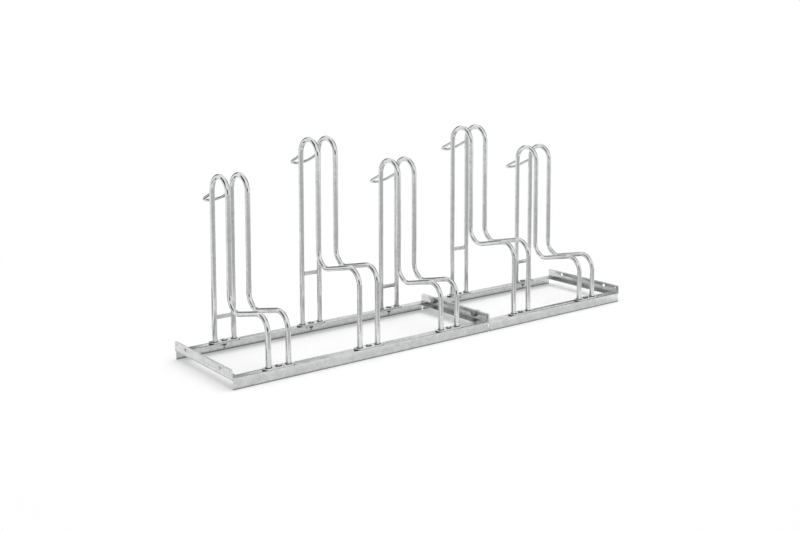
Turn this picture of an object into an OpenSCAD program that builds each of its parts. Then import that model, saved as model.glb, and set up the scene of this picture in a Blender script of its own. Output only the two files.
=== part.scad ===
// Floor bike rack with bicycle places at two heights in turn.
// Two modules stand end to end, bolted together where they meet.
// +X runs along the rack, -Y is the side where the bicycles roll in, the floor is z = 0.
// The origin lies on the floor, in the middle of the outer box.

/* [Places] */
// Distance from one place to the next
place_pitch = 350; // [260:10:500]
// Places in the left module
place_count_a = 3; // [1:1:4]
// Places in the right module
place_count_b = 2; // [1:1:3]
// Overall height of a low place's hoops
low_hoop_h = 618; // [560:1:760]
// Middle height of a low place's front step
low_step_z = 185; // [165:1:230]
// How much higher every second place is
high_rise = 100; // [0:5:160]

/* [Base frame] */
// Depth over the front and rear rails
rack_depth = 388; // [350:1:460]
// Leg of the steel angle
angle_leg = 35; // [32:1:50]
// Thickness of the steel angle
angle_t = 3; // [2:0.5:4]
// Inside bend radius of the steel angle
angle_bend_r = 0.5; // [0.5:0.5:1.5]
// Rounding of a cross angle's upper corners
angle_corner_r = 8; // [2:1:9]

/* [Holes of the cross angles] */
// Diameter of the holes that join two modules
joint_hole_d = 13; // [11:0.5:14]
// Joint hole's axis from the outside of the rail
joint_hole_inset = 77; // [50:1:110]
// Joint hole's axis below the top edge
joint_hole_drop = 12.5; // [12.5:0.5:14]
// Diameter of the small holes near the corners
corner_hole_d = 6.5; // [4:0.5:8]
// Small hole's axis from the outside of the rail
corner_hole_inset = 17; // [14:1:30]
// Small hole's axis below the top edge
corner_hole_drop = 9.5; // [9:0.5:14]
// Diameter of the hole for a floor anchor
anchor_hole_d = 10; // [6:0.5:12]
// Anchor hole's axis from the end of the module
anchor_hole_inset = 15; // [13:1:22]

/* [Hoops] */
// Outer diameter of the tube
tube_d = 18; // [14:1:22]
// Wall of the tube
tube_wall = 2; // [1:0.5:3]
// Clear width for the wheel between a place's two hoops
wheel_gap = 55; // [45:1:70]
// Radius of the top bend, to the tube's axis
top_bend_r = 54; // [40:1:62]
// Radius of the two bends at the step, to the tube's axis
step_bend_r = 54; // [35:1:60]
// Rise of the step towards the front, in degrees
step_tilt = 12.5; // [0:0.5:20]

/* [Tie bar and locking eye] */
// Height of the flat tie bar
tie_h = 15; // [10:1:25]
// Thickness of the flat tie bar
tie_t = 4; // [3:1:8]
// Tie bar's middle below the middle of the step
tie_drop = 62; // [45:1:85]
// Diameter of the locking eye's rod
eye_rod_d = 10; // [6:1:12]
// Straight length of the locking eye, from the tube's axis
eye_run = 56.5; // [40:0.5:90]
// Slope of the locking eye down to the rear, in degrees
eye_tilt = 25; // [0:1:40]
// Locking eye's root below the top of the hoop
eye_drop = 68.5; // [60:0.5:110]
// Gap at a coped end, filled by the weld
weld_gap = 0.2; // [0.1:0.1:0.4]

/* [Foot straps and their bolts] */
// Thickness of a foot strap
strap_t = 5; // [3:1:8]
// Width of a foot strap
strap_w = 30; // [24:1:32]
// Foot strap's end beyond the axis of the tube
strap_margin = 21; // [12:1:30]
// Thread diameter of a foot bolt
foot_bolt_d = 8; // [6:1:10]
// Length of a foot bolt under its head
foot_bolt_l = 30; // [28:1:34]
// Diameter of a foot bolt's low round head
foot_head_d = 21; // [14:1:24]
// Height of a foot bolt's low round head
foot_head_h = 5; // [3:0.5:6]
// Cylindrical rim of a foot bolt's head
foot_head_rim = 1; // [0.5:0.5:1.5]
// Width across flats of a foot nut
foot_nut_af = 13; // [12:1:16]
// Height of a foot nut
foot_nut_h = 8; // [5:0.5:9]
// Outer diameter of a foot washer
foot_washer_d = 16; // [14:1:20]
// Thickness of a foot washer
foot_washer_t = 1.6; // [1:0.2:2.4]

/* [Joint bolts] */
// Thread diameter of a joint bolt
joint_bolt_d = 12; // [8:1:12]
// Length of a joint bolt under its head
joint_bolt_l = 30; // [26:1:40]
// Width across flats of a joint bolt and nut
joint_hex_af = 19; // [16:1:20]
// Height of a joint bolt's head
joint_head_h = 7.5; // [5:0.5:9]
// Height of a joint nut
joint_nut_h = 10.8; // [8:0.2:12]
// Outer diameter of a joint washer
joint_washer_d = 24; // [20:1:24]
// Thickness of a joint washer
joint_washer_t = 2.5; // [1:0.5:3]

/* [Hidden] */
$fn = 64;
// Clearance of a bolt in its hole and of a washer on its bolt, on the diameter
bolt_clearance = 1;
// Clearance of a nut on its thread, on the diameter
thread_clearance = 0.2;
// Overrun of every cut past the face it leaves
overrun = 2;
// Bend's loss on the tube's radius
bend_draw = 0.05;
// Angle by which a bend's ends reach into the straight tube
bend_tuck = 1.5;
// Face circle of a hexagon's chamfer, as a share of the width across flats
hex_face_share = 0.95;
// Slope of a hexagon's chamfer, in degrees
hex_chamfer = 30;

places = place_count_a + place_count_b;
length_a = place_count_a * place_pitch;
rack_length = places * place_pitch;
tube_r = tube_d / 2;
hoop_spacing = wheel_gap + tube_d;
bend_outer_r = angle_t + angle_bend_r;

// Depths, counted from the front of the rails
foot_front = angle_leg / 2;
foot_rear = rack_depth - angle_leg / 2;
upright = foot_rear - 2 * top_bend_r;
eye_reach = (eye_run + hoop_spacing / 2) * cos(eye_tilt) + eye_rod_d / 2;
outer_depth = max(rack_depth, foot_rear + eye_reach);
x_left = -rack_length / 2;
y_front = -outer_depth / 2;

// Heights
cross_bottom = angle_leg - 2 * angle_t;
cross_top = cross_bottom + angle_leg;
flange_bottom = angle_leg - angle_t;
strap_top = angle_leg + strap_t;
joint_hole_z = cross_top - joint_hole_drop;
corner_hole_z = cross_top - corner_hole_drop;

foot_hole_d = foot_bolt_d + bolt_clearance;
joint_shank_fit = joint_bolt_d + bolt_clearance;

SIDES = [["left", -1], ["right", 1]];
FEET = [["front", foot_front], ["rear", foot_rear]];

// Middle of place i, counted from 1 at the left
function place_x(i) = x_left + (i - 1 / 2) * place_pitch;

// Every second place is high
function rise(i) = i % 2 == 0 ? high_rise : 0;

// Cross-section of the bent steel angle, with its outer corner at the origin
module angle_section() {
    translate([bend_outer_r, 0]) square([angle_leg - bend_outer_r, angle_t]);
    translate([0, bend_outer_r]) square([angle_t, angle_leg - bend_outer_r]);
    intersection() {
        translate([bend_outer_r, bend_outer_r]) difference() {
            circle(bend_outer_r);
            circle(angle_bend_r);
        }
        square(bend_outer_r);
    }
}

// Drilling through a horizontal plate that reaches from z0 to z1
module drill_down(d, z0, z1) {
    translate([0, 0, z0 - overrun]) cylinder(h = z1 - z0 + 2 * overrun, d = d);
}

// Front rail under count places from the first: the upright leg stands on the floor,
// the flange on top points to the rear
module front_rail(first, count) {
    last = first + count - 1;
    start = place_x(first) - place_pitch / 2 + bend_outer_r;
    end = place_x(last) + place_pitch / 2 - bend_outer_r;
    difference() {
        translate([start, y_front, angle_leg]) rotate([90, 0, 90])
            linear_extrude(end - start) mirror([0, 1]) angle_section();
        for (i = [first : last])
            translate([place_x(i), y_front + foot_front, 0])
                drill_down(foot_hole_d, flange_bottom, angle_leg);
    }
}

// Rear rail: the front rail seen in a mirror
module rear_rail(first, count) {
    translate([0, 2 * y_front + rack_depth, 0]) mirror([0, 1, 0]) front_rail(first, count);
}

// Outline of a cross angle seen from its end, with its four holes
module cross_outline() {
    difference() {
        union() {
            translate([0, cross_bottom]) square([rack_depth, angle_leg - angle_corner_r]);
            translate([angle_corner_r, cross_bottom])
                square([rack_depth - 2 * angle_corner_r, angle_leg]);
            for (y = [angle_corner_r, rack_depth - angle_corner_r])
                translate([y, cross_top - angle_corner_r]) circle(angle_corner_r);
        }
        for (y = [joint_hole_inset, rack_depth - joint_hole_inset])
            translate([y, joint_hole_z]) circle(d = joint_hole_d);
        for (y = [corner_hole_inset, rack_depth - corner_hole_inset])
            translate([y, corner_hole_z]) circle(d = corner_hole_d);
    }
}

// Cross angle at a module's left end: its flat leg carries the flanges of both rails
// and stops short of the rails' upright legs
module cross_angle() {
    notch = angle_t + angle_bend_r;
    difference() {
        intersection() {
            translate([0, rack_depth, cross_bottom]) rotate([90, 0, 0])
                linear_extrude(rack_depth) angle_section();
            rotate([90, 0, 90]) linear_extrude(angle_leg) cross_outline();
        }
        for (y = [-overrun, rack_depth - notch])
            translate([angle_t, y, cross_bottom - overrun])
                cube([angle_leg, notch + overrun, angle_leg]);
        translate([anchor_hole_inset, rack_depth / 2, 0])
            drill_down(anchor_hole_d, cross_bottom, cross_bottom + angle_t);
    }
}

// Cross angle set at the module end x, with dir = 1 at a left end and -1 at a right end
module cross_angle_at(x, dir) {
    color("silver") translate([x, y_front, 0]) mirror([dir < 0 ? 1 : 0, 0, 0]) cross_angle();
}

// Upright stretch of a round bar of radius r at depth y, from z0 to z1
module upright_bar(r, y, z0, z1) {
    translate([0, y, z0]) cylinder(h = z1 - z0, r = r);
}

// Bend of a round bar of radius r, about depth y and height z. Angles count from the rear upwards.
// Bending draws the bar in a little, and both ends reach into the straight stretches.
module bent_bar(r, y, z, bend_r, from, sweep) {
    translate([0, y, z]) rotate([90, 0, 90]) rotate([0, 0, from - bend_tuck])
        rotate_extrude(angle = sweep + 2 * bend_tuck) translate([bend_r, 0]) circle(r - bend_draw);
}

// Round bar of radius r along a hoop: up at the rear, over the top, down, forward along
// the rising step and down to the front foot. It runs past both feet by the length past.
module hoop_bar(i, r, past) {
    step_middle = (upright + foot_front) / 2;
    step_z = low_step_z + rise(i);
    top_z = low_hoop_h + rise(i) - (tube_r - bend_draw) - top_bend_r;
    rear_y = upright - step_bend_r;
    rear_z = step_z + (step_middle - rear_y) * tan(step_tilt) + step_bend_r / cos(step_tilt);
    front_y = foot_front + step_bend_r;
    front_z = step_z + (step_middle - front_y) * tan(step_tilt) - step_bend_r / cos(step_tilt);
    step_start = rear_y - step_bend_r * sin(step_tilt);
    step_end = front_y + step_bend_r * sin(step_tilt);
    turn = 90 + step_tilt;
    upright_bar(r, foot_rear, strap_top - past, top_z);
    bent_bar(r, foot_rear - top_bend_r, top_z, top_bend_r, 0, 180);
    upright_bar(r, upright, rear_z, top_z);
    bent_bar(r, rear_y, rear_z, step_bend_r, -turn, turn);
    translate([0, step_start, rear_z - step_bend_r * cos(step_tilt)]) rotate([90 - step_tilt, 0, 0])
        cylinder(h = (step_start - step_end) / cos(step_tilt), r = r);
    bent_bar(r, front_y, front_z, step_bend_r, 180 - turn, turn);
    upright_bar(r, foot_front, strap_top - past, front_z);
}

// One hoop: a tube bent from one length, standing on its foot straps
module hoop(i, side) {
    color("gainsboro") translate([place_x(i) + side * hoop_spacing / 2, y_front, 0]) difference() {
        hoop_bar(i, tube_r, 0);
        hoop_bar(i, tube_r - tube_wall, overrun);
    }
}

// Room for the rear uprights of a place, cut from what is welded between or behind them
module rear_upright_room(z0, z1) {
    for (s = SIDES)
        translate([s[1] * hoop_spacing / 2, 0, 0])
            drill_down(tube_d + 2 * weld_gap, z0, z1);
}

// Flat bar welded between the two rear uprights of a place
module tie_bar(i) {
    bottom = low_step_z + rise(i) - tie_drop - tie_h / 2;
    color("gainsboro") translate([place_x(i), y_front + foot_rear, 0]) difference() {
        translate([-hoop_spacing / 2, -tie_t / 2, bottom]) cube([hoop_spacing, tie_t, tie_h]);
        rear_upright_room(bottom, bottom + tie_h);
    }
}

// Locking eye: a rod bent to a U, welded to the rear of both rear uprights
module locking_eye(i) {
    root_z = low_hoop_h + rise(i) - eye_drop;
    color("silver") translate([place_x(i), y_front + foot_rear, root_z]) difference() {
        rotate([-eye_tilt, 0, 0]) {
            for (s = SIDES)
                translate([s[1] * hoop_spacing / 2, 0, 0]) rotate([-90, 0, 0])
                    cylinder(h = eye_run, d = eye_rod_d);
            translate([0, eye_run, 0]) rotate_extrude(angle = 180)
                translate([hoop_spacing / 2, 0]) circle(d = eye_rod_d);
        }
        rear_upright_room(-tube_d, tube_d);
    }
}

// Foot strap with round ends: a place's two tubes stand on it and one bolt holds it
module foot_strap(i, foot) {
    end = hoop_spacing / 2 + strap_margin - strap_w / 2;
    color("gainsboro") translate([place_x(i), y_front + foot, angle_leg])
        linear_extrude(strap_t) difference() {
            union() {
                translate([-end, -strap_w / 2]) square([2 * end, strap_w]);
                for (s = SIDES) translate([s[1] * end, 0]) circle(d = strap_w);
            }
            circle(d = foot_hole_d);
        }
}

// Hexagon of height h, chamfered at the outer face and, for a nut, at the inner face too
module hexagon(af, h, inner_face) {
    face_r = af / 2 * hex_face_share;
    width = af / 2 / cos(180 / 6) - face_r + overrun;
    fall = width * tan(hex_chamfer);
    intersection() {
        cylinder(h = h, d = af / cos(180 / 6), $fn = 6);
        rotate_extrude() polygon([
            [0, 0],
            [inner_face ? face_r : face_r + width, 0],
            [face_r + width, inner_face ? fall : 0],
            [face_r + width, h - fall],
            [face_r, h],
            [0, h]
        ]);
    }
}

module ring(d_outer, d_inner, h) {
    difference() {
        cylinder(h = h, d = d_outer);
        drill_down(d_inner, 0, h);
    }
}

module nut(af, h, bolt_d) {
    difference() {
        hexagon(af, h, true);
        drill_down(bolt_d + thread_clearance, 0, h);
    }
}

// Repeats what it is given at the middle of every foot strap
module at_feet() {
    for (i = [1 : places])
        for (f = FEET)
            translate([place_x(i), y_front + f[1], 0]) children();
}

// Low round-head bolts that hold the foot straps to the flanges
module foot_bolts() {
    cap_h = foot_head_h - foot_head_rim;
    cap_r = (pow(cap_h, 2) + pow(foot_head_d / 2, 2)) / (2 * cap_h);
    color("whitesmoke") at_feet() translate([0, 0, strap_top]) {
        translate([0, 0, -foot_bolt_l]) cylinder(h = foot_bolt_l, d = foot_bolt_d);
        cylinder(h = foot_head_rim, d = foot_head_d);
        intersection() {
            translate([0, 0, foot_head_h - cap_r]) sphere(cap_r);
            translate([0, 0, foot_head_rim]) cylinder(h = cap_h + overrun, d = foot_head_d + overrun);
        }
    }
}

module foot_washers() {
    color("gray") at_feet() translate([0, 0, flange_bottom - foot_washer_t])
        ring(foot_washer_d, foot_hole_d, foot_washer_t);
}

module foot_nuts() {
    color("dimgray") at_feet()
        translate([0, 0, flange_bottom - foot_washer_t]) mirror([0, 0, 1])
            nut(foot_nut_af, foot_nut_h, foot_bolt_d);
}

// Repeats what it is given at both joint holes, with +Z turned to point along +X
// and z = 0 in the plane where the modules meet
module at_joint() {
    for (y = [joint_hole_inset, rack_depth - joint_hole_inset])
        translate([x_left + length_a, y_front + y, joint_hole_z]) rotate([0, 90, 0]) children();
}

// Hexagon bolts that join the two modules, with their heads in the left module
module joint_bolts() {
    seat = angle_t + joint_washer_t;
    color("dimgray") at_joint() {
        translate([0, 0, -seat]) cylinder(h = joint_bolt_l, d = joint_bolt_d);
        translate([0, 0, -seat]) mirror([0, 0, 1]) hexagon(joint_hex_af, joint_head_h, false);
    }
}

module joint_washers() {
    color("gray") at_joint() for (z = [-angle_t - joint_washer_t, angle_t])
        translate([0, 0, z]) ring(joint_washer_d, joint_shank_fit, joint_washer_t);
}

module joint_nuts() {
    color("dimgray") at_joint() translate([0, 0, angle_t + joint_washer_t])
        nut(joint_hex_af, joint_nut_h, joint_bolt_d);
}

color("silver") front_rail(1, place_count_a);  // rail_front_a
color("silver") rear_rail(1, place_count_a);  // rail_rear_a
color("silver") front_rail(place_count_a + 1, place_count_b);  // rail_front_b
color("silver") rear_rail(place_count_a + 1, place_count_b);  // rail_rear_b
cross_angle_at(x_left, 1);  // cross_angle_a_left
cross_angle_at(x_left + length_a, -1);  // cross_angle_a_right
cross_angle_at(x_left + length_a, 1);  // cross_angle_b_left
cross_angle_at(-x_left, -1);  // cross_angle_b_right
for (i = [1 : places]) for (s = SIDES)
    hoop(i, s[1]);
for (i = [1 : places]) tie_bar(i);
for (i = [1 : places]) locking_eye(i);
for (i = [1 : places]) for (f = FEET)
    foot_strap(i, f[1]);
foot_bolts();
foot_washers();
foot_nuts();
joint_bolts();
joint_washers();
joint_nuts();
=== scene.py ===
import math

import bmesh
import bpy
from mathutils import Matrix, Vector


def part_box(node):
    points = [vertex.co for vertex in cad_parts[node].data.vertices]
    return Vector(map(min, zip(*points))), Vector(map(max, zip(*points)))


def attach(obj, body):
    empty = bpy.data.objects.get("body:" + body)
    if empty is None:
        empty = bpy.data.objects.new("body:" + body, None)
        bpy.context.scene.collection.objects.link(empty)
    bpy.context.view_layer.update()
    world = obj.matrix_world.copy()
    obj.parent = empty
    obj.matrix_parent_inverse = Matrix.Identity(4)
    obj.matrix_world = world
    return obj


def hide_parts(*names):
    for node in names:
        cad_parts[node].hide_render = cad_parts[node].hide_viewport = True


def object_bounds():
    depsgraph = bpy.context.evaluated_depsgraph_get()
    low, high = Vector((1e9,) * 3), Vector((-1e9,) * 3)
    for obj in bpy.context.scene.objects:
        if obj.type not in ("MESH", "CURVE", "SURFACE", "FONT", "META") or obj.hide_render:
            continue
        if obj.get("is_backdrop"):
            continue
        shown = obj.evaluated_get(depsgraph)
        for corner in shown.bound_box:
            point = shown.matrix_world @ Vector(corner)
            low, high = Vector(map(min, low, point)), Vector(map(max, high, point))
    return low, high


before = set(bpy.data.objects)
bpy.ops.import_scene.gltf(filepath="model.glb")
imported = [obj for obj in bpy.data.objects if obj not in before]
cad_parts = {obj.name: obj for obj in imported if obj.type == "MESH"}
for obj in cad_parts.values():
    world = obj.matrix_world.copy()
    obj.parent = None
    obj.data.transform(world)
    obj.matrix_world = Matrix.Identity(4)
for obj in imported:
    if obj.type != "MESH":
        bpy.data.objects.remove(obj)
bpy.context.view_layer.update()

MM = 0.001

# Sizes of the steel in millimetres, turned to metres
TUBE_R = 9 * MM
TOP_BEND_R = 54 * MM
STEP_BEND_R = 54 * MM
STEP_TILT = math.radians(12.5)
STEP_OVER_TIE = 62 * MM
UPRIGHT_BACK = 2 * TOP_BEND_R
ROD_R = 5 * MM
EYE_RUN = 56.5 * MM
EYE_TILT = math.radians(25)
EYE_DROP = 68.5 * MM
ANGLE_T = 3 * MM
BEND_R = 3.5 * MM
EDGE_R = 0.4 * MM
CORNER_R = 8 * MM
JOINT_HOLE_R = 6.5 * MM
JOINT_HOLE_INSET = 77 * MM
JOINT_HOLE_DROP = 12.5 * MM
CORNER_HOLE_R = 3.25 * MM
CORNER_HOLE_INSET = 17 * MM
CORNER_HOLE_DROP = 9.5 * MM
ANCHOR_HOLE_R = 5 * MM
ANCHOR_HOLE_INSET = 15 * MM
SAW_MARGIN = 1 * MM
DRILL_LENGTH = 20 * MM
FOOT_HOLE_R = 4.5 * MM
STRAP_EDGE_R = 0.7 * MM
TIE_EDGE_R = 0.8 * MM
FOOT_THREAD_R = 4 * MM
FOOT_THREAD_PITCH = 1.25 * MM
FOOT_NUT_AF = 13 * MM
FOOT_HEAD_R = 10.5 * MM
FOOT_HEAD_H = 5 * MM
FOOT_HEAD_RIM = 1 * MM
FOOT_WASHER_R = 8 * MM
JOINT_THREAD_R = 6 * MM
JOINT_THREAD_PITCH = 1.75 * MM
JOINT_AF = 19 * MM
JOINT_HEAD_H = 7.5 * MM
JOINT_WASHER_T = 2.5 * MM
WASHER_EDGE_R = 0.25 * MM
HEX_FACE_SHARE = 0.95
HEX_CHAMFER = math.radians(30)
THREAD_DEPTH_SHARE = 0.6
THREAD_END_SHARE = 0.84
SHARP = math.radians(50)

# Sizes of the welds, and how far a rod or a bar bites into its weld
FOOT_WELD_R = 2 * MM
EYE_WELD_R = 1.7 * MM
EYE_WELD_OUT = 0.3 * MM
EYE_BITE = 1 * MM
TIE_WELD_R = 1.6 * MM
TIE_WELD_INSET = 1 * MM
TIE_BITE = 1.5 * MM
SEAM_R = 1.5 * MM
SEAM_OUT = 0.4 * MM

# Distances under which two points of a mesh count as one, or as on a line
DOUBLE = 0.001 * MM
TOUCH = 0.01 * MM

# The zinc's pattern: its finest grain, the noise levels between which a dull cloud turns to
# clear zinc, and what each part adds to the shade and the skin
GRAIN = 3 * MM
CLOUDY_BELOW = 0.32
CLEAR_ABOVE = 0.68
CRYSTAL_SHARE = 0.38
CLOUD_SHARE = 0.42
GRAIN_SHARE = 0.3
GRAIN_IN_SKIN = 0.25
# The dullest zinc is rougher than its material says, and the clearest is smoother
DULLEST = 0.1
CLEAREST = 0.75
ROUGHER_WHERE_DULL = 0.06
SMOOTHER_WHERE_CLEAR = 0.04
# How far the painted shade line wanders and how wide its core is, as shares of its width, and
# how it fades on faces that look away from its axis
LINE_WANDER = 0.6
LINE_CORE = 0.1
LOOKS_AWAY = 0.1
LOOKS_ALONG = 0.7
FADED = 0.2

# The camera's place in metres, its turn in degrees and its lens, found by fitting the rack to
# the photograph
CAMERA_PLACE = (-2.428039, -3.084600, 1.112502)
CAMERA_TURN = (83.925, 0, -37.576)
CAMERA_SENSOR_MM = 36
CAMERA_LENS_MM = 48.994
CAMERA_SHIFT = -0.16
CAMERA_REACH = 100

# The studio: sizes and distances in metres, strengths as shares of white
FLOOR_SIZE = 40
FLOOR_DROP = 0.2 * MM
FLOOR_GREY = 0.86
FLOOR_GLOW = 0.2
FLOOR_NEAR = 1.2
FLOOR_FAR = 2.2
WORLD_LIGHT = 0.7
SOFT_BOX_SIZE = (3.6, 3.0)
SOFT_BOX_PLACE = (0.2, 0.1, 3.2)
SOFT_BOX_WATTS = 45
CARD_LIFT = 1 * MM
UPPER_CARD_LIFT = 2 * MM

# The camera stands where the photograph was taken from. It is tipped down by six degrees,
# so that a shift half as large as the photograph's frames the rack
camera_data = bpy.data.cameras.new("photo_camera")
camera_data.sensor_fit = "HORIZONTAL"
camera_data.sensor_width = CAMERA_SENSOR_MM
camera_data.lens = CAMERA_LENS_MM
camera_data.shift_y = CAMERA_SHIFT
camera_data.clip_end = CAMERA_REACH
camera = bpy.data.objects.new("photo_camera", camera_data)
camera.location = CAMERA_PLACE
camera.rotation_euler = [math.radians(angle) for angle in CAMERA_TURN]
bpy.context.scene.collection.objects.link(camera)
bpy.context.scene.camera = camera
bpy.context.scene.view_settings.view_transform = "Standard"


def linear(hex_colour):
    """The linear colour of an sRGB hex value."""
    parts = [int(hex_colour[i : i + 2], 16) / 255 for i in (1, 3, 5)]
    return [p / 12.92 if p <= 0.04045 else ((p + 0.055) / 1.055) ** 2.4 for p in parts] + [1]


def node(tree, kind, settings=None, **sockets):
    """Adds a node with its settings. A socket gets a constant, or a link where another node's
    output is given. A socket's name has _ for a space, and a number stands after in_."""
    new = tree.nodes.new(kind)
    for name, value in (settings or {}).items():
        setattr(new, name, value)
    for name, value in sockets.items():
        key = int(name[3:]) if name.startswith("in_") else name.replace("_", " ")
        if isinstance(value, bpy.types.NodeSocket):
            tree.links.new(value, new.inputs[key])
        else:
            new.inputs[key].default_value = value
    return new


def new_material(name):
    """An empty node material, and its tree."""
    material = bpy.data.materials.new(name)
    material.use_nodes = True
    material.node_tree.nodes.clear()
    return material, material.node_tree


def per_metre(size):
    """A pattern's scale, for features of this size."""
    return 1 / size


def zinc(name, dark, light, spangle, cloud, rough, uneven, painted_shade=None, foot=0.0,
         line=0.0, across=None):
    """Steel under a zinc layer. The spangle's crystals each have their own shade and gloss,
    clouds of duller zinc lie over them, and the skin is slightly uneven. Painted shade is
    the colour of a dark line painted at the foot's height, standing in for the shadow where
    parts meet or stand on the floor, which reaches this far up and down. With an axis
    given, the line is clear on faces that look along that axis and faint on others."""
    material, tree = new_material(name)
    place = node(tree, "ShaderNodeTexCoord").outputs["Object"]
    crystals = node(tree, "ShaderNodeTexVoronoi", {"feature": "F1"}, Vector=place,
                    Scale=per_metre(spangle), Randomness=1.0)
    shade = node(tree, "ShaderNodeSeparateColor", Color=crystals.outputs["Color"])
    clouds = node(tree, "ShaderNodeTexNoise", Vector=place, Scale=per_metre(cloud),
                  Detail=3.0, Roughness=0.55)
    grain = node(tree, "ShaderNodeTexNoise", Vector=place, Scale=per_metre(GRAIN),
                 Detail=2.0, Roughness=0.6)
    clearness = node(tree, "ShaderNodeMapRange", Value=clouds.outputs[0],
                     From_Min=CLOUDY_BELOW, From_Max=CLEAR_ABOVE)
    crystal_part = node(tree, "ShaderNodeMath", {"operation": "MULTIPLY"},
                        in_0=shade.outputs["Red"], in_1=CRYSTAL_SHARE)
    with_clouds = node(tree, "ShaderNodeMath", {"operation": "MULTIPLY_ADD"},
                       in_0=clearness.outputs[0], in_1=CLOUD_SHARE,
                       in_2=crystal_part.outputs[0])
    with_grain = node(tree, "ShaderNodeMath", {"operation": "MULTIPLY_ADD"},
                      in_0=grain.outputs[0], in_1=GRAIN_SHARE, in_2=with_clouds.outputs[0])
    colour = node(tree, "ShaderNodeMix", {"data_type": "RGBA"}, Factor=with_grain.outputs[0],
                  in_6=linear(dark), in_7=linear(light))
    # A dark line of painted shade: shadow where parts touch or meet in a corner, painted into
    # the colour
    if painted_shade:
        axes = node(tree, "ShaderNodeSeparateXYZ", Vector=place)
        height = node(tree, "ShaderNodeMath", {"operation": "MULTIPLY_ADD"},
                      in_0=grain.outputs[0], in_1=-LINE_WANDER * line,
                      in_2=axes.outputs["Z"])
        above = node(tree, "ShaderNodeMath", {"operation": "SUBTRACT"},
                     in_0=height.outputs[0], in_1=foot)
        away = node(tree, "ShaderNodeMath", {"operation": "ABSOLUTE"}, in_0=above.outputs[0])
        low = node(tree, "ShaderNodeMapRange", Value=away.outputs[0],
                   From_Min=LINE_CORE * line, From_Max=line, To_Min=1.0, To_Max=0.0)
        if across:
            facing = node(tree, "ShaderNodeSeparateXYZ",
                          Vector=node(tree, "ShaderNodeNewGeometry").outputs["Normal"])
            squarely = node(tree, "ShaderNodeMath", {"operation": "ABSOLUTE"},
                            in_0=facing.outputs[across])
            share = node(tree, "ShaderNodeMapRange", Value=squarely.outputs[0],
                         From_Min=LOOKS_AWAY, From_Max=LOOKS_ALONG, To_Min=FADED, To_Max=1.0)
            low = node(tree, "ShaderNodeMath", {"operation": "MULTIPLY"},
                       in_0=low.outputs[0], in_1=share.outputs[0])
        colour = node(tree, "ShaderNodeMix", {"data_type": "RGBA"}, Factor=low.outputs[0],
                      in_6=colour.outputs[2], in_7=linear(painted_shade))
    gloss = node(tree, "ShaderNodeMapRange", Value=with_clouds.outputs[0], From_Min=DULLEST,
                 From_Max=CLEAREST, To_Min=rough + ROUGHER_WHERE_DULL,
                 To_Max=rough - SMOOTHER_WHERE_CLEAR)
    skin = node(tree, "ShaderNodeMath", {"operation": "MULTIPLY_ADD"},
                in_0=grain.outputs[0], in_1=GRAIN_IN_SKIN, in_2=clearness.outputs[0])
    bump = node(tree, "ShaderNodeBump", Strength=1.0, Distance=uneven, Height=skin.outputs[0])
    steel = node(tree, "ShaderNodeBsdfPrincipled", Base_Color=colour.outputs[2], Metallic=1.0,
                 Roughness=gloss.outputs[0], Normal=bump.outputs[0])
    node(tree, "ShaderNodeOutputMaterial", Surface=steel.outputs[0])
    return material


rail_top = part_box("rail_front_a")[1].z
strap_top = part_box("foot_strap_front_1")[1].z
cross_flat_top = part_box("cross_angle_a_left")[0].z + ANGLE_T

# Hot-dip galvanised steel angle: broad dull spangle, light grey, softly mirror-like, with a
# dark line of painted contact shadow where it stands on the floor
rail_zinc = zinc("hot_dip_galvanised_steel_angle", "#C2C3C3", "#E2E3E3", spangle=9 * MM,
                 cloud=24 * MM, rough=0.27, uneven=0.015 * MM, painted_shade="#8C8D8D",
                 line=5 * MM)
# The same angle across the rack, with painted shade darkening the flat leg and its inner corner
cross_zinc = zinc("hot_dip_galvanised_cross_angle", "#C2C3C3", "#E2E3E3", spangle=9 * MM,
                  cloud=24 * MM, rough=0.27, uneven=0.015 * MM, painted_shade="#7C7E7E",
                  foot=cross_flat_top, line=4 * MM, across="Z")
# Hot-dip galvanised steel tube: smaller crystals and clear streaks of light along the tube
tube_zinc = zinc("hot_dip_galvanised_steel_tube", "#C8C9C9", "#E6E7E7", spangle=6 * MM,
                 cloud=22 * MM, rough=0.15, uneven=0.04 * MM)
# Hot-dip galvanised flat bar: as light as the tube, but less mirror-like
flat_zinc = zinc("hot_dip_galvanised_flat_bar", "#C6C7C7", "#E6E7E7", spangle=7 * MM,
                 cloud=18 * MM, rough=0.2, uneven=0.05 * MM)
# The foot straps' flat bar: lighter, with a line of painted contact shadow at its ends where it
# lies on the rail
strap_zinc = zinc("hot_dip_galvanised_foot_strap", "#CECFCF", "#EAEBEB", spangle=7 * MM,
                  cloud=18 * MM, rough=0.2, uneven=0.05 * MM, painted_shade="#1E1F20",
                  foot=rail_top, line=3.8 * MM, across="X")
# Weld under zinc: rough beads, darker than the bars, with painted shade in the crevices at the
# strap
weld_zinc = zinc("zinc_over_weld_bead", "#77797A", "#C8C9CA", spangle=2.5 * MM,
                 cloud=9 * MM, rough=0.24, uneven=0.08 * MM, painted_shade="#2C2D2E",
                 foot=strap_top, line=2.1 * MM)
# Hot-dip galvanised round rod: fine crystals, a little darker than the tube
rod_zinc = zinc("hot_dip_galvanised_round_rod", "#B4B5B5", "#D6D7D7", spangle=5 * MM,
                cloud=16 * MM, rough=0.18, uneven=0.04 * MM)
# Bright zinc-plated bolts: fine grained and glossy, with a painted shadow line under the round
# heads
bright_bolt = zinc("zinc_plated_steel_bright", "#C4C5C6", "#E8E9EA", spangle=3 * MM,
                   cloud=8 * MM, rough=0.14, uneven=0.02 * MM, painted_shade="#262728",
                   foot=strap_top, line=3.2 * MM)
# Bright zinc-plated washers: a little duller than the bolts
bright_washer = zinc("zinc_plated_steel_washer", "#B8B9BA", "#DCDDDE", spangle=3 * MM,
                     cloud=8 * MM, rough=0.18, uneven=0.02 * MM)
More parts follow.
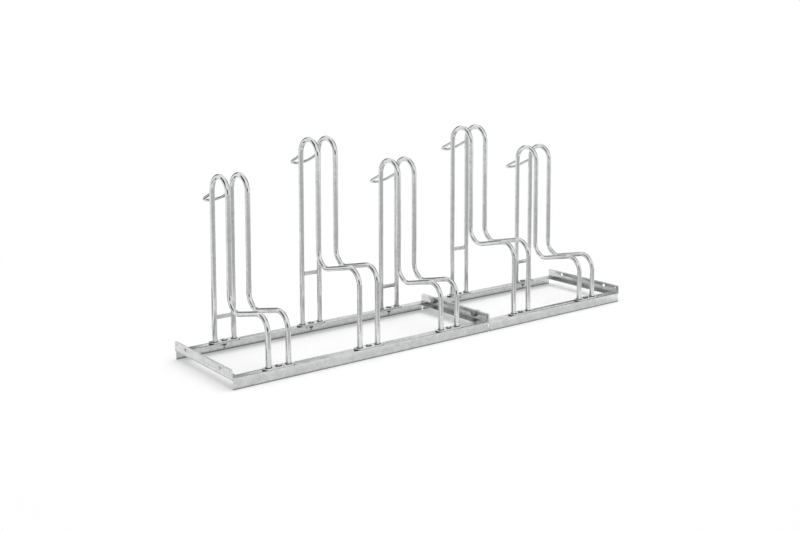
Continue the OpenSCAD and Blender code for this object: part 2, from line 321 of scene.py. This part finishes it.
# Larger plated bolts and their washers: greyer, with soft lights on the heads' flats
joint_bolt = zinc("zinc_plated_steel_grey", "#8A8C8D", "#C4C6C7", spangle=4 * MM,
                  cloud=10 * MM, rough=0.2, uneven=0.02 * MM)
# Plated nuts painted dark, standing in for the shade they sit in under the flanges and beside
# the joint plates
nut_zinc_painted_dark = zinc("zinc_plated_steel_painted_dark", "#2A2B2C", "#66686A", spangle=3 * MM,
                 cloud=6 * MM, rough=0.26, uneven=0.03 * MM)


def leave():
    """Goes back to object mode with nothing selected."""
    if bpy.context.object and bpy.context.object.mode == "EDIT":
        bpy.ops.object.mode_set(mode="OBJECT")
    bpy.ops.object.select_all(action="DESELECT")


def begin(primitive, name, **settings):
    """Adds a primitive where nothing else is selected, fixes its place in its mesh and opens
    it in edit mode."""
    leave()
    primitive(**settings)
    piece = bpy.context.object
    piece.name = name
    piece.data.name = name
    bpy.ops.object.transform_apply(location=True, rotation=True, scale=True)
    bpy.ops.object.mode_set(mode="EDIT")
    return piece


def choose(piece, test, kind="VERT"):
    """Selects the vertices that pass the test, or the edges whose middle passes it."""
    bpy.ops.mesh.select_mode(type=kind)
    bpy.ops.mesh.select_all(action="DESELECT")
    mesh = bmesh.from_edit_mesh(piece.data)
    if kind == "VERT":
        for point in mesh.verts:
            point.select_set(test(point.co))
    else:
        for edge in mesh.edges:
            edge.select_set(test((edge.verts[0].co + edge.verts[1].co) / 2))
    mesh.select_flush_mode()
    bmesh.update_edit_mesh(piece.data)


def push(move):
    """Extrudes what is selected along a straight line."""
    bpy.ops.mesh.extrude_region_move(TRANSFORM_OT_translate={"value": move})


def turn(centre, axis, angle, steps):
    """Spins what is selected about an axis, by the right-hand rule."""
    bpy.ops.mesh.spin(steps=steps, angle=-angle, center=centre, axis=axis)


def swell(factor, centre):
    """Scales what is selected about a point."""
    bpy.ops.transform.resize(value=(factor,) * 3, center_override=centre)


def close_up():
    """Merges doubles, fills open ends and turns all faces outwards."""
    bpy.ops.mesh.select_all(action="SELECT")
    bpy.ops.mesh.remove_doubles(threshold=DOUBLE)
    bpy.ops.mesh.fill_holes(sides=0)
    bpy.ops.mesh.select_all(action="SELECT")
    bpy.ops.mesh.normals_make_consistent(inside=False)


def alone(piece):
    """Makes a piece the only one selected, in object mode."""
    leave()
    piece.select_set(True)
    bpy.context.view_layer.objects.active = piece


def smooth(piece, degrees=35):
    """Shades round faces smooth and keeps sharp edges."""
    alone(piece)
    bpy.ops.object.shade_smooth_by_angle(angle=math.radians(degrees))
    return piece


def modify(piece, kind, **settings):
    """Adds a modifier and applies it."""
    alone(piece)
    modifier = piece.modifiers.new(kind.lower(), kind)
    for name, value in settings.items():
        setattr(modifier, name, value)
    bpy.ops.object.modifier_apply(modifier=modifier.name)


def cut(piece, cutter, operation="DIFFERENCE"):
    """Cuts a piece with another shape, which is then thrown away."""
    modify(piece, "BOOLEAN", operation=operation, solver="EXACT", object=cutter)
    bpy.data.objects.remove(cutter)


def throw_away(*patterns):
    """Removes patterns whose copies are in place."""
    for pattern in patterns:
        bpy.data.objects.remove(pattern)


def copy_to(piece, name, move):
    """A copy with its own mesh, moved."""
    new = piece.copy()
    new.data = piece.data.copy()
    new.name = name
    new.data.name = name
    bpy.context.scene.collection.objects.link(new)
    new.data.transform(Matrix.Translation(move))
    return new


def joined(pieces, name):
    """One piece out of several."""
    alone(pieces[0])
    for piece in pieces[1:]:
        piece.select_set(True)
    bpy.ops.object.join()
    pieces[0].name = name
    return pieces[0]


def dress(piece, material, slot, *nodes):
    """Gives a piece its finish and its body, and hides the CAD nodes that it stands for."""
    piece.data.materials.clear()
    piece.data.materials.append(material)
    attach(piece, "root")
    if nodes:
        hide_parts(*nodes)


# Steel angle

def drill(piece, centre, radius, axis):
    """Drills a round hole through a piece, along Y or Z."""
    turn_by = (math.pi / 2, 0, 0) if axis == "Y" else (0, 0, 0)
    drill_bit = begin(bpy.ops.mesh.primitive_cylinder_add, "drill_bit", vertices=40,
                      radius=radius, depth=DRILL_LENGTH, location=centre, rotation=turn_by)
    cut(piece, drill_bit)


def steel_angle(name, length, leg, corners=0.0):
    """Sheet bent to an angle, with the bend along X: one leg lies in z = 0 and reaches to +Y,
    the other stands in y = 0 and reaches to +Z. The stock's thickness lies inside."""
    piece = begin(bpy.ops.mesh.primitive_plane_add, name, size=1)
    bpy.ops.transform.resize(value=(length, leg, 1), center_override=(0, 0, 0))
    bpy.ops.transform.translate(value=(length / 2, leg / 2, 0))
    choose(piece, lambda p: abs(p.y) < TOUCH, "EDGE")
    push((0, 0, leg))
    if corners:
        choose(piece, lambda p: p.z > leg - TOUCH)
        bpy.ops.mesh.bevel(offset=corners, segments=8, affect="VERTICES")
    choose(piece, lambda p: abs(p.y) + abs(p.z) < TOUCH, "EDGE")
    bpy.ops.mesh.bevel(offset=BEND_R, segments=6, affect="EDGES")
    modify(piece, "SOLIDIFY", thickness=ANGLE_T, offset=1, use_even_offset=True)
    return piece


def finish_angle(piece, axes):
    """Breaks the sharp edges of an angle and sets it in its place."""
    modify(piece, "BEVEL", width=EDGE_R, segments=2, limit_method="ANGLE",
           angle_limit=SHARP)
    smooth(piece, 40)
    piece.data.transform(axes)


def set_of_axes(origin, x, y, z):
    """The matrix that lays a piece's own axes along x, y and z at the origin given."""
    return Matrix((
        (x[0], y[0], z[0], origin[0]),
        (x[1], y[1], z[1], origin[1]),
        (x[2], y[2], z[2], origin[2]),
        (0, 0, 0, 1),
    ))


# The five wheel places, each with the box of its tie bar
places = {i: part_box(f"tie_bar_{i}") for i in (1, 2, 3, 4, 5)}
place_x = {i: (lo.x + hi.x) / 2 for i, (lo, hi) in places.items()}

for module, members in (("a", (1, 2, 3)), ("b", (4, 5))):
    for side in ("front", "rear"):
        rail = f"rail_{side}_{module}"
        lo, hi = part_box(rail)
        leg = hi.z - lo.z
        piece = steel_angle(f"angle_{rail}", hi.x - lo.x, leg)
        for i in members:
            along = hi.x - place_x[i] if side == "front" else place_x[i] - lo.x
            drill(piece, (along, leg / 2, 0), FOOT_HOLE_R, "Z")
        if side == "front":
            axes = set_of_axes((hi.x, lo.y, hi.z), (-1, 0, 0), (0, 1, 0), (0, 0, -1))
        else:
            axes = set_of_axes((lo.x, hi.y, hi.z), (1, 0, 0), (0, -1, 0), (0, 0, -1))
        finish_angle(piece, axes)
        dress(piece, rail_zinc, "galvanised_angle", rail)

for module in ("a", "b"):
    for side in ("left", "right"):
        cross = f"cross_angle_{module}_{side}"
        lo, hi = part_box(cross)
        leg = hi.z - lo.z
        length = hi.y - lo.y
        piece = steel_angle(f"bent_{cross}", length, leg, CORNER_R)
        for along in (JOINT_HOLE_INSET, length - JOINT_HOLE_INSET):
            drill(piece, (along, 0, leg - JOINT_HOLE_DROP), JOINT_HOLE_R, "Y")
        for along in (CORNER_HOLE_INSET, length - CORNER_HOLE_INSET):
            drill(piece, (along, 0, leg - CORNER_HOLE_DROP), CORNER_HOLE_R, "Y")
        drill(piece, (length / 2, ANCHOR_HOLE_INSET, 0), ANCHOR_HOLE_R, "Z")
        # The flat leg is sawn short, to fit between the rails' bends
        for along in (BEND_R / 2 - SAW_MARGIN, length - BEND_R / 2 + SAW_MARGIN):
            saw = begin(bpy.ops.mesh.primitive_cube_add, "saw", size=1)
            bpy.ops.transform.resize(value=(BEND_R + 2 * SAW_MARGIN, leg, leg),
                                     center_override=(0, 0, 0))
            bpy.ops.transform.translate(value=(along, ANGLE_T + leg / 2, 0))
            cut(piece, saw)
        if side == "left":
            axes = set_of_axes((lo.x, hi.y, lo.z), (0, -1, 0), (1, 0, 0), (0, 0, 1))
        else:
            axes = set_of_axes((hi.x, lo.y, lo.z), (0, 1, 0), (-1, 0, 0), (0, 0, 1))
        finish_angle(piece, axes)
        dress(piece, cross_zinc, "galvanised_angle", cross)

# Hoops, each bent from one tube

def hoop_tube(name, example, step_z):
    """A hoop's tube at x = 0, between the depths and heights of its CAD solid."""
    lo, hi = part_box(example)
    rear, front = hi.y - TUBE_R, lo.y + TUBE_R
    upright = rear - UPRIGHT_BACK
    top = hi.z - TUBE_R - TOP_BEND_R
    turned = math.pi / 2 + STEP_TILT
    middle = (upright + front) / 2
    rear_y, front_y = upright - STEP_BEND_R, front + STEP_BEND_R
    lift = STEP_BEND_R / math.cos(STEP_TILT)
    rear_z = step_z + (middle - rear_y) * math.tan(STEP_TILT) + lift
    front_z = step_z + (middle - front_y) * math.tan(STEP_TILT) - lift
    run = rear_y - front_y - 2 * STEP_BEND_R * math.sin(STEP_TILT)
    piece = begin(bpy.ops.mesh.primitive_circle_add, name, vertices=40, radius=TUBE_R,
                  fill_type="NOTHING", location=(0, rear, lo.z))
    push((0, 0, top - lo.z))
    turn((0, rear - TOP_BEND_R, top), (1, 0, 0), math.pi, 28)
    push((0, 0, rear_z - top))
    turn((0, rear_y, rear_z), (1, 0, 0), -turned, 16)
    push((0, -run, run * math.tan(STEP_TILT)))
    turn((0, front_y, front_z), (1, 0, 0), turned, 16)
    push((0, 0, lo.z - front_z))
    close_up()
    return smooth(piece)


def step_height(i):
    """The height of a place's step, halfway along."""
    lo, hi = places[i]
    return (lo.z + hi.z) / 2 + STEP_OVER_TIE


low_hoop = hoop_tube("tube_hoop_1_pattern", "hoop_1_left", step_height(1))
high_hoop = hoop_tube("tube_hoop_2_pattern", "hoop_2_left", step_height(2))
for i in places:
    hoop = low_hoop if i % 2 else high_hoop
    for side in ("left", "right"):
        lo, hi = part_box(f"hoop_{i}_{side}")
        piece = copy_to(hoop, f"tube_hoop_{i}_{side}", ((lo.x + hi.x) / 2, 0, 0))
        dress(piece, tube_zinc, "galvanised_tube", f"hoop_{i}_{side}")
throw_away(low_hoop, high_hoop)

hoop_half = (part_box("hoop_1_right")[0].x + TUBE_R) - place_x[1]
foot_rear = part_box("hoop_1_left")[1].y - TUBE_R
foot_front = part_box("hoop_1_left")[0].y + TUBE_R

# Welds

def bead_ring(name, around, bead, sides=36):
    """A ring of weld round a bar that stands on the origin, laid in small overlapping drops."""
    drop_swell = 0.12 * bead
    piece = begin(bpy.ops.mesh.primitive_torus_add, name, major_segments=sides,
                  minor_segments=8, major_radius=around, minor_radius=bead)
    step = 2 * math.pi / sides
    choose(piece, lambda p: round(math.atan2(p.y, p.x) / step) % 3 == 0)
    bpy.ops.transform.shrink_fatten(value=drop_swell)
    return smooth(piece, 80)


def bead_line(name, length, bead, sides=8):
    """A straight run of weld along Y from the origin, laid in small overlapping drops."""
    end_share, waist_share, drop_length = 0.6, 0.88, 1.2 * bead
    piece = begin(bpy.ops.mesh.primitive_circle_add, name, vertices=sides,
                  radius=end_share * bead, fill_type="NOTHING",
                  rotation=(math.pi / 2, 0, 0))
    bpy.ops.mesh.select_all(action="SELECT")
    drops = round(length / drop_length)
    step = length / (2 * drops)
    waves = [waist_share if k % 2 else 1 / waist_share for k in range(1, 2 * drops - 1)]
    for k, factor in enumerate([1 / end_share, *waves, end_share]):
        push((0, step, 0))
        swell(factor, (0, (k + 1) * step, 0))
    close_up()
    return smooth(piece, 80)


drops = bead_ring("weld_drops", TUBE_R + FOOT_WELD_R / 4, FOOT_WELD_R)
welds = []
for i in places:
    for x in (place_x[i] - hoop_half, place_x[i] + hoop_half):
        for y in (foot_front, foot_rear):
            welds.append(copy_to(drops, "weld_at_foot", (x, y, strap_top)))
throw_away(drops)
dress(joined(welds, "welds_at_tube_feet"), weld_zinc, "galvanised_flat")

# Locking eyes

def eye_rod(name):
    """A locking eye's rod, whose ends point at the tubes' axes at the origin's height."""
    root = TUBE_R - EYE_BITE
    piece = begin(bpy.ops.mesh.primitive_circle_add, name, vertices=28, radius=ROD_R,
                  fill_type="NOTHING", location=(-hoop_half, root, 0),
                  rotation=(math.pi / 2, 0, 0))
    push((0, EYE_RUN - root, 0))
    turn((0, EYE_RUN, 0), (0, 0, 1), -math.pi, 28)
    push((0, root - EYE_RUN, 0))
    close_up()
    smooth(piece)
    piece.data.transform(Matrix.Rotation(-EYE_TILT, 4, "X"))
    return piece


def saddle_bead(name):
    """Weld round a locking eye's root, bent to the round of the tube behind it."""
    piece = begin(bpy.ops.mesh.primitive_torus_add, name, major_segments=32,
                  minor_segments=8, major_radius=ROD_R + EYE_WELD_OUT,
                  minor_radius=EYE_WELD_R, rotation=(math.pi / 2, 0, 0))
    band = 0.5 * MM
    bands = round((ROD_R + EYE_WELD_OUT + EYE_WELD_R) / band)
    for k in range(1, bands + 1):
        fall = TUBE_R - math.sqrt(max(TUBE_R**2 - (k * band) ** 2, 0))
        choose(piece, lambda p: (k - 0.5) * band < abs(p.x) <= (k + 0.5) * band)
        bpy.ops.transform.translate(value=(0, -fall, 0))
    bpy.ops.mesh.select_all(action="SELECT")
    bpy.ops.transform.translate(value=(0, TUBE_R, 0))
    smooth(piece, 80)
    return piece


eye = eye_rod("eye_pattern")
saddle = saddle_bead("saddle_pattern")
saddles = []
for i in places:
    root_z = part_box(f"hoop_{i}_left")[1].z - EYE_DROP
    piece = copy_to(eye, f"rod_locking_eye_{i}", (place_x[i], foot_rear, root_z))
    dress(piece, rod_zinc, "galvanised_rod", f"locking_eye_{i}")
    for x in (place_x[i] - hoop_half, place_x[i] + hoop_half):
        drop = TUBE_R * math.tan(EYE_TILT)
        saddles.append(copy_to(saddle, "weld_at_eye", (x, foot_rear, root_z - drop)))
throw_away(eye, saddle)
dress(joined(saddles, "welds_at_eyes"), rod_zinc, "galvanised_rod")

# Tie bars with their welds

tie_seams = []
for i in places:
    lo, hi = places[i]
    inner = hoop_half - TUBE_R
    piece = begin(bpy.ops.mesh.primitive_plane_add, f"flat_tie_bar_{i}", size=1,
                  rotation=(math.pi / 2, 0, 0))
    bpy.ops.transform.resize(value=(2 * (inner + TIE_BITE), 1, hi.z - lo.z),
                             center_override=(0, 0, 0))
    bpy.ops.transform.translate(value=(place_x[i], hi.y, (lo.z + hi.z) / 2))
    bpy.ops.mesh.select_all(action="SELECT")
    push((0, lo.y - hi.y, 0))
    close_up()
    modify(piece, "BEVEL", width=TIE_EDGE_R, segments=3, limit_method="ANGLE")
    smooth(piece)
    dress(piece, flat_zinc, "galvanised_flat", f"tie_bar_{i}")
    line = bead_line("weld_run", hi.z - lo.z - 2 * TIE_WELD_INSET, TIE_WELD_R)
    line.data.transform(Matrix.Rotation(math.pi / 2, 4, "X"))
    for x in (place_x[i] - inner, place_x[i] + inner):
        for y in (lo.y, hi.y):
            tie_seams.append(copy_to(line, "weld_at_tie", (x, y, lo.z + TIE_WELD_INSET)))
    throw_away(line)
dress(joined(tie_seams, "welds_at_tie_bars"), flat_zinc, "galvanised_flat")

# Foot straps

def pierce(sides, radius, bottom, height):
    """Gives the outline in hand a round hole about the origin's axis, and a thickness."""
    bpy.ops.mesh.select_all(action="DESELECT")
    bpy.ops.mesh.primitive_circle_add(vertices=sides, radius=radius, fill_type="NOTHING",
                                      location=(0, 0, bottom))
    bpy.ops.mesh.select_all(action="SELECT")
    bpy.ops.mesh.bridge_edge_loops()
    bpy.ops.mesh.select_all(action="SELECT")
    push((0, 0, height))
    bpy.ops.mesh.select_all(action="SELECT")
    bpy.ops.mesh.normals_make_consistent(inside=False)


def strap(name, example):
    """A foot strap round the origin, with its hole, between the heights of its CAD solid."""
    lo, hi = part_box(example)
    end_r = (hi.y - lo.y) / 2
    run = (hi.x - lo.x) / 2 - end_r
    sides = 50
    piece = begin(bpy.ops.mesh.primitive_circle_add, name, vertices=sides, radius=end_r,
                  fill_type="NOTHING", location=(0, 0, lo.z))
    choose(piece, lambda p: p.x > 0)
    bpy.ops.transform.translate(value=(run, 0, 0))
    choose(piece, lambda p: p.x < 0)
    bpy.ops.transform.translate(value=(-run, 0, 0))
    pierce(sides, FOOT_HOLE_R, lo.z, hi.z - lo.z)
    modify(piece, "BEVEL", width=STRAP_EDGE_R, segments=3, limit_method="ANGLE",
           angle_limit=SHARP)
    return smooth(piece, 40)


pattern = strap("strap_pattern", "foot_strap_front_1")
for side, y in (("front", foot_front), ("rear", foot_rear)):
    for i in places:
        piece = copy_to(pattern, f"flat_foot_strap_{side}_{i}", (place_x[i], y, 0))
        dress(piece, strap_zinc, "galvanised_flat", f"foot_strap_{side}_{i}")
throw_away(pattern)

# Bolts, nuts and washers

def thread(name, radius, pitch, length):
    """A threaded rod from the origin down, with its end chamfered."""
    sides, steps = 16, 8
    piece = begin(bpy.ops.mesh.primitive_circle_add, name, vertices=sides, radius=radius,
                  fill_type="NOTHING")
    depth = THREAD_DEPTH_SHARE * pitch
    for k in range(sides):
        angle = 2 * math.pi * k / sides
        reach = radius - depth * (1 - abs(1 - angle / math.pi))
        corner = Vector((radius * math.cos(angle), radius * math.sin(angle), 0))
        choose(piece, lambda p: (p - corner).length < 10 * TOUCH)
        swell(reach / radius, (0, 0, 0))
    bpy.ops.mesh.select_all(action="SELECT")
    count = round(length / pitch * steps)
    down = length / count
    for k in range(count):
        push((0, 0, -down))
        bpy.ops.transform.rotate(value=2 * math.pi * down / pitch, orient_axis="Z",
                                 center_override=(0, 0, 0))
    swell(THREAD_END_SHARE, (0, 0, -length))
    close_up()
    return smooth(piece, 50)


def hexagon(name, across, height, both_ends):
    """A hexagon from the origin up, with a chamfer at the top or at both ends."""
    corner_r = across / 2 / math.cos(math.pi / 6)
    piece = begin(bpy.ops.mesh.primitive_cylinder_add, name, vertices=6, depth=height,
                  radius=corner_r, location=(0, 0, height / 2))
    face_r = HEX_FACE_SHARE * across / 2
    wide = corner_r + 1 * MM
    fall = (wide - face_r) * math.tan(HEX_CHAMFER)
    tool = begin(bpy.ops.mesh.primitive_circle_add, "chamfer_tool", vertices=64,
                 radius=face_r if both_ends else wide, fill_type="NOTHING")
    bpy.ops.mesh.select_all(action="SELECT")
    if both_ends:
        push((0, 0, fall))
        swell(wide / face_r, (0, 0, fall))
        push((0, 0, height - 2 * fall))
    else:
        push((0, 0, height - fall))
    push((0, 0, fall))
    swell(face_r / wide, (0, 0, height))
    close_up()
    cut(piece, tool, "INTERSECT")
    return piece


def nut(name, across, height, bore):
    """A nut from the origin up, with its thread's bore."""
    piece = hexagon(name, across, height, True)
    drill(piece, (0, 0, height / 2), bore, "Z")
    return smooth(piece, 30)


def washer(name, outer, inner, height):
    """A flat washer from the origin up."""
    sides = 48
    piece = begin(bpy.ops.mesh.primitive_circle_add, name, vertices=sides, radius=outer,
                  fill_type="NOTHING")
    pierce(sides, inner, 0, height)
    modify(piece, "BEVEL", width=WASHER_EDGE_R, segments=2, limit_method="ANGLE",
           angle_limit=SHARP)
    return smooth(piece, 40)


def dome_head(name):
    """A low round bolt head from the origin up."""
    cap = FOOT_HEAD_H - FOOT_HEAD_RIM
    ball_r = (cap**2 + FOOT_HEAD_R**2) / (2 * cap)
    piece = begin(bpy.ops.mesh.primitive_uv_sphere_add, name, segments=40, ring_count=60,
                  radius=ball_r, location=(0, 0, FOOT_HEAD_H - ball_r))
    bpy.ops.mesh.select_all(action="SELECT")
    bpy.ops.mesh.bisect(plane_co=(0, 0, FOOT_HEAD_RIM), plane_no=(0, 0, 1), clear_inner=True)
    choose(piece, lambda p: p.z < FOOT_HEAD_RIM + TOUCH)
    push((0, 0, -FOOT_HEAD_RIM))
    close_up()
    return smooth(piece, 30)


nuts_lo, nuts_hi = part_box("foot_nuts")
washers_lo, washers_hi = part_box("foot_washers")
shank = thread("shank_pattern", FOOT_THREAD_R, FOOT_THREAD_PITCH,
               strap_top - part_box("foot_bolts")[0].z)
head = dome_head("head_pattern")
foot_nut = nut("nut_pattern", FOOT_NUT_AF, nuts_hi.z - nuts_lo.z, FOOT_THREAD_R)
foot_washer = washer("washer_pattern", FOOT_WASHER_R, FOOT_HOLE_R,
                     washers_hi.z - washers_lo.z)
sets = {"bolts": [], "nuts": [], "washers": []}
for i in places:
    x = place_x[i]
    for y in (foot_front, foot_rear):
        sets["bolts"].append(copy_to(shank, "shank", (x, y, strap_top)))
        sets["bolts"].append(copy_to(head, "head", (x, y, strap_top)))
        sets["nuts"].append(copy_to(foot_nut, "nut", (x, y, nuts_lo.z)))
        sets["washers"].append(copy_to(foot_washer, "washer", (x, y, washers_lo.z)))
throw_away(shank, head, foot_nut, foot_washer)
dress(joined(sets["bolts"], "round_head_foot_bolts"), bright_bolt, "plated_fastener",
      "foot_bolts")
dress(joined(sets["nuts"], "hexagon_foot_nuts"), nut_zinc_painted_dark, "dark_fastener", "foot_nuts")
dress(joined(sets["washers"], "flat_foot_washers"), bright_washer, "plated_fastener",
      "foot_washers")

bolts_lo, bolts_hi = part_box("joint_bolts")
nuts_lo, nuts_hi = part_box("joint_nuts")
washers_lo, washers_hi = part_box("joint_washers")
joint_z = (washers_lo.z + washers_hi.z) / 2
washer_r = (washers_hi.z - washers_lo.z) / 2
joint_y = (washers_lo.y + washer_r, washers_hi.y - washer_r)
along_x = Matrix.Rotation(math.pi / 2, 4, "Y")
under_head = bolts_lo.x + JOINT_HEAD_H
shank = thread("joint_shank_pattern", JOINT_THREAD_R, JOINT_THREAD_PITCH,
               bolts_hi.x - under_head)
shank.data.transform(Matrix.Rotation(math.pi, 4, "X"))
head = smooth(hexagon("joint_head_pattern", JOINT_AF, JOINT_HEAD_H, False), 30)
head.data.transform(Matrix.Rotation(math.pi, 4, "X"))
joint_nut = nut("joint_nut_pattern", JOINT_AF, nuts_hi.x - nuts_lo.x, JOINT_THREAD_R)
joint_washer = washer("joint_washer_pattern", washer_r, JOINT_HOLE_R, JOINT_WASHER_T)
for pattern in (shank, head, joint_nut, joint_washer):
    pattern.data.transform(along_x)
sets = {"bolts": [], "nuts": [], "washers": []}
for y in joint_y:
    sets["bolts"].append(copy_to(shank, "shank", (under_head, y, joint_z)))
    sets["bolts"].append(copy_to(head, "head", (under_head, y, joint_z)))
    sets["nuts"].append(copy_to(joint_nut, "nut", (nuts_lo.x, y, joint_z)))
    for x in (washers_lo.x, washers_hi.x - JOINT_WASHER_T):
        sets["washers"].append(copy_to(joint_washer, "washer", (x, y, joint_z)))
throw_away(shank, head, joint_nut, joint_washer)
dress(joined(sets["bolts"], "hexagon_joint_bolts"), joint_bolt, "dark_fastener", "joint_bolts")
dress(joined(sets["nuts"], "hexagon_joint_nuts"), nut_zinc_painted_dark, "dark_fastener", "joint_nuts")
dress(joined(sets["washers"], "flat_joint_washers"), joint_bolt, "plated_fastener",
      "joint_washers")

# Seams that join the rails to the cross angles, on top of the flanges

seams = []
for module in ("a", "b"):
    for side in ("front", "rear"):
        rail_lo, rail_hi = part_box(f"rail_{side}_{module}")
        run = rail_hi.y - rail_lo.y - 2 * BEND_R
        line = bead_line("seam_pattern", run, SEAM_R)
        for x in (rail_lo.x - SEAM_OUT, rail_hi.x + SEAM_OUT):
            seams.append(copy_to(line, "seam", (x, rail_lo.y + BEND_R, rail_hi.z)))
        throw_away(line)
dress(joined(seams, "welds_at_rail_ends"), rail_zinc, "galvanised_angle")

# Studio

def seen_directly(tree):
    """A socket that is 1 where the camera, a mirror-like surface or glass looks at this."""
    rays = node(tree, "ShaderNodeLightPath")
    camera_or_metal = node(tree, "ShaderNodeMath", {"operation": "MAXIMUM"},
                           in_0=rays.outputs["Is Camera Ray"],
                           in_1=rays.outputs["Is Glossy Ray"])
    any_of_them = node(tree, "ShaderNodeMath", {"operation": "MAXIMUM"},
                       in_0=camera_or_metal.outputs[0],
                       in_1=rays.outputs["Is Transmission Ray"])
    return any_of_them.outputs[0]


def white(share):
    """White at this share of its strength, as a linear colour."""
    return (share, share, share, 1)


# A matt white floor that keeps the rack's shadow near it and is plain white further out
floor = begin(bpy.ops.mesh.primitive_plane_add, "studio_floor", size=FLOOR_SIZE,
              location=(0, 0, -FLOOR_DROP))
alone(floor)
floor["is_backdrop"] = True
floor_paint, tree = new_material("matt_white_studio_floor")
matt = node(tree, "ShaderNodeBsdfDiffuse", Color=white(FLOOR_GREY))
glow = node(tree, "ShaderNodeEmission", Color=white(1), Strength=FLOOR_GLOW)
near = node(tree, "ShaderNodeAddShader", in_0=matt.outputs[0], in_1=glow.outputs[0])
far = node(tree, "ShaderNodeEmission", Color=white(1), Strength=1.0)
outwards = node(tree, "ShaderNodeVectorMath", {"operation": "LENGTH"},
                in_0=node(tree, "ShaderNodeTexCoord").outputs["Object"])
edge = node(tree, "ShaderNodeMapRange", {"interpolation_type": "SMOOTHSTEP"},
            Value=outwards.outputs["Value"], From_Min=FLOOR_NEAR, From_Max=FLOOR_FAR)
shown = node(tree, "ShaderNodeMixShader", in_0=edge.outputs[0], in_1=near.outputs[0],
             in_2=far.outputs[0])
paint = node(tree, "ShaderNodeMixShader", in_0=seen_directly(tree), in_1=matt.outputs[0],
             in_2=shown.outputs[0])
node(tree, "ShaderNodeOutputMaterial", Surface=paint.outputs[0])
floor.data.materials.append(floor_paint)

# A white world, at full white where the camera or the metal sees it
world = bpy.data.worlds.new("white_studio")
bpy.context.scene.world = world
world.use_nodes = True
tree = world.node_tree
tree.nodes.clear()
level = node(tree, "ShaderNodeMapRange", Value=seen_directly(tree), To_Min=WORLD_LIGHT,
             To_Max=1.0)
sky = node(tree, "ShaderNodeBackground", Color=white(1), Strength=level.outputs[0])
node(tree, "ShaderNodeOutputWorld", Surface=sky.outputs[0])

# A large soft box overhead, which the metal doesn't mirror
soft_box = bpy.data.lights.new("soft_box", "AREA")
soft_box.shape = "RECTANGLE"
soft_box.size, soft_box.size_y = SOFT_BOX_SIZE
soft_box.energy = SOFT_BOX_WATTS
soft_box_object = bpy.data.objects.new("soft_box", soft_box)
soft_box_object.location = SOFT_BOX_PLACE
soft_box_object.visible_glossy = False
bpy.context.scene.collection.objects.link(soft_box_object)


def card(name, centre, size, grey, tip=0, yaw=0):
    """A flat grey card that only the metal's reflections see, turned about X by tip and then
    about Z by yaw, in degrees."""
    piece = begin(bpy.ops.mesh.primitive_plane_add, name, size=1)
    bpy.ops.transform.resize(value=(*size, 1), center_override=(0, 0, 0))
    alone(piece)
    piece.data.transform(Matrix.Rotation(math.radians(tip), 4, "X"))
    piece.data.transform(Matrix.Rotation(math.radians(yaw), 4, "Z"))
    piece.data.transform(Matrix.Translation(centre))
    paint, card_tree = new_material(name + "_paint")
    glow = node(card_tree, "ShaderNodeEmission", Color=white(grey), Strength=1.0)
    node(card_tree, "ShaderNodeOutputMaterial", Surface=glow.outputs[0])
    piece.data.materials.append(paint)
    for seen_by in ("camera", "diffuse", "transmission", "volume_scatter", "shadow"):
        setattr(piece, "visible_" + seen_by, False)
    piece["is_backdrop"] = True


# Cloths on the floor give the upright faces their grey: one before the camera, one along the
# front rail and one inside the rack
card("cloth_before_camera", (-0.8, -3.55, CARD_LIFT), (7.4, 6.0), 0.56)
card("cloth_at_the_front", (0, -0.285, CARD_LIFT), (1.74, 0.1), 0.82)
card("cloth_inside_the_rack", (0, -0.035, CARD_LIFT), (1.72, 0.36), 0.76)
# Darker cloths: two behind the left end give the tubes their dark left edge, and two inside
# the rack darken the cross angles at the joint and at the right end
card("cloth_at_the_left", (-1.42, 0.42, UPPER_CARD_LIFT), (0.5, 0.4), 0.1, yaw=128)
card("cloth_behind_the_rack", (-0.9, 0.72, UPPER_CARD_LIFT), (0.8, 0.34), 0.14, yaw=128)
card("cloth_left_of_the_joint", (0, -0.07, UPPER_CARD_LIFT), (0.28, 0.2), 0.3)
card("cloth_at_the_right_end", (0.68, -0.07, UPPER_CARD_LIFT), (0.34, 0.2), 0.3)
# Dark upright cards: the two at the sides and the one behind the camera draw the dark lines
# and spots on the tubes' bends, and the two at the back are mirrored on top of the steps
card("card_high_at_the_right", (3.2, 0.9, 2.9), (3.2, 3.5), 0.06, tip=90, yaw=90)
card("card_high_at_the_left", (-3.2, 0.9, 2.9), (3.6, 3.5), 0.06, tip=90, yaw=90)
card("band_behind_camera", (-3.9, -5.1, 1.8), (6.0, 2.8), 0.05, tip=90, yaw=-37.6)
card("card_at_the_back", (-0.4, 4.2, 1.65), (3.1, 2.7), 0.1, tip=90)
card("card_high_at_the_back", (1.8, 4.2, 2.9), (1.3, 1.6), 0.1, tip=90)

leave()
lo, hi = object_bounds()
